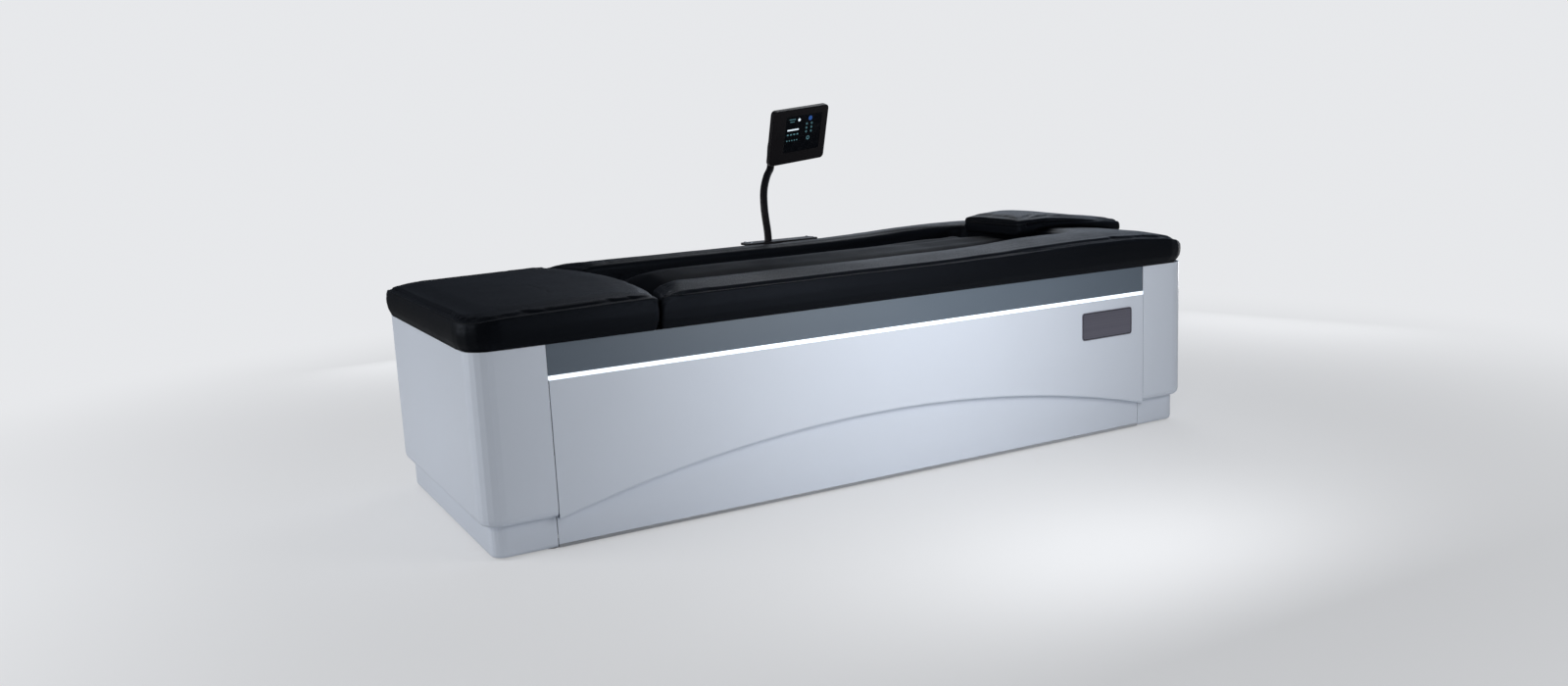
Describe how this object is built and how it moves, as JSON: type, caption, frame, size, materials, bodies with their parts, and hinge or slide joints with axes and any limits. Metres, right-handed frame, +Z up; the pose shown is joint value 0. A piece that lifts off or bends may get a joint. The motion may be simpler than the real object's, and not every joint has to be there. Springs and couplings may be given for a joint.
{
  "type": "hydrotherapy massage table",
  "caption": "Dry-water massage bed: padded rails round a soft membrane over travelling spinning jets, arched white side panels with light strips, head pillow and a touch panel on an arm.",
  "frame": {"origin": "on the floor, under the middle of the table's length and width", "axes": "+X from the foot end to the head end, +Y to the side that carries the control panel, +Z up"},
  "size_m": [2.29, 0.895, 1.0492],
  "materials": {
    "white_shell": "satin",
    "grey_fascia": "satin",
    "light_lens": "satin",
    "brushed_plate": "satin",
    "steel_frame": "satin",
    "bright_aluminium": "satin",
    "bright_steel": "satin",
    "black_rubber": "matte",
    "black_vinyl": "satin",
    "black_membrane": "satin",
    "black_plastic": "satin",
    "tub_plastic": "satin",
    "plywood": "matte",
    "screen_glass": "polished",
    "pump_paint": "satin",
    "valve_brass": "satin"
  },
  "bodies": {
    "table": {"head_end_cover": "white_shell", "foot_end_cover": "white_shell", "head_end_skirt": "white_shell", "foot_end_skirt": "white_shell", "front_side_panel": "white_shell", "rear_side_panel": "white_shell", "front_arch_skirt": "white_shell", "rear_arch_skirt": "white_shell", "front_fascia": "grey_fascia", "rear_fascia": "grey_fascia", "front_led_strip": "light_lens", "rear_led_strip": "light_lens", "front_kick_rail": "bright_aluminium", "rear_kick_rail": "bright_aluminium", "name_plate": "brushed_plate", "base_frame": "steel_frame", "front_foot_levelling_foot": "black_rubber", "front_mid_levelling_foot": "black_rubber", "front_head_levelling_foot": "black_rubber", "rear_foot_levelling_foot": "black_rubber", "rear_mid_levelling_foot": "black_rubber", "rear_head_levelling_foot": "black_rubber", "deck_frame": "steel_frame", "deck_board": "plywood", "water_tub": "tub_plastic", "membrane": "black_membrane", "clamp_frame": "bright_aluminium", "foot_pad": "black_vinyl", "surround_pad": "black_vinyl", "near_guide_rail": "bright_steel", "far_guide_rail": "bright_steel", "carriage_hose": "black_rubber", "drive_belt": "black_rubber", "drive_motor": "steel_frame", "pump_motor": "pump_paint", "pump_housing": "black_plastic", "suction_pipe": "black_rubber", "feed_pipe": "black_rubber", "water_heater": "bright_steel", "drain_valve": "valve_brass", "control_box": "bright_aluminium", "control_box_lid": "steel_frame", "power_inlet": "black_plastic", "arm_mount": "black_plastic"},
    "carriage": {"jet_carriage": "bright_aluminium", "belt_clamp": "black_plastic", "jet_manifold": "black_plastic"},
    "near_jet": {"near_jet_rotor": "bright_aluminium"},
    "far_jet": {"far_jet_rotor": "bright_aluminium"},
    "drive_pulley": {"drive_pulley": "bright_aluminium"},
    "idler_pulley": {"idler_pulley": "bright_aluminium"},
    "impeller": {"pump_impeller": "bright_aluminium"},
    "pillow": {"pillow": "black_vinyl"},
    "arm": {"panel_arm": "black_plastic", "arm_head": "black_plastic"},
    "panel": {"panel_enclosure": "black_plastic", "touch_screen": "screen_glass", "panel_bracket": "black_plastic"},
    "mains_switch": {"mains_switch": "black_plastic"},
    "drain_lever": {"drain_lever": "black_plastic"}
  },
  "joints": [
    {"name": "carriage_travel", "type": "slide", "parent": "table", "child": "carriage", "axis": [1, 0, 0], "range_m": [-0.54, 0.54], "deforming": ["carriage_hose"]},
    {"name": "near_jet_spin", "type": "hinge", "parent": "carriage", "child": "near_jet", "pos_m": [0.1, -0.11, 0.44], "axis": [0, 0, 1], "continuous": true},
    {"name": "far_jet_spin", "type": "hinge", "parent": "carriage", "child": "far_jet", "pos_m": [0.1, 0.11, 0.44], "axis": [0, 0, 1], "continuous": true},
    {"name": "drive_pulley_spin", "type": "hinge", "parent": "table", "child": "drive_pulley", "pos_m": [-0.56, 0, 0.25], "axis": [0, 0, 1], "range_deg": [-1000, 1000]},
    {"name": "idler_pulley_spin", "type": "hinge", "parent": "table", "child": "idler_pulley", "pos_m": [0.74, 0, 0.25], "axis": [0, 0, 1], "range_deg": [-1000, 1000]},
    {"name": "impeller_spin", "type": "hinge", "parent": "table", "child": "impeller", "pos_m": [-0.786, 0.16, 0.15], "axis": [1, 0, 0], "continuous": true},
    {"name": "pillow_lift", "type": "slide", "parent": "table", "child": "pillow", "axis": [0, 0, 1], "range_m": [0, 0.25]},
    {"name": "arm_swivel", "type": "hinge", "parent": "table", "child": "arm", "pos_m": [0.088, 0.38, 0.5532], "axis": [0, 0, 1], "range_deg": [-75, 75]},
    {"name": "panel_tilt", "type": "hinge", "parent": "arm", "child": "panel", "pos_m": [0.21154, 0.41647, 0.96283], "axis": [0.9815, 0.1706, 0.0873], "range_deg": [-35, 3]},
    {"name": "mains_switch_rock", "type": "hinge", "parent": "table", "child": "mains_switch", "pos_m": [1.129, -0.2, 0.198], "axis": [0, 1, 0], "range_deg": [0, 23]},
    {"name": "drain_lever_turn", "type": "hinge", "parent": "table", "child": "drain_lever", "pos_m": [0.64, 0.1846, 0.1734], "axis": [0, 1, 0], "range_deg": [0, 90]}
  ],
  "couplings": [
    {"joint": "drive_pulley_spin", "follows": "carriage_travel", "rad_per_m": -32},
    {"joint": "idler_pulley_spin", "follows": "carriage_travel", "rad_per_m": -32}
  ]
}
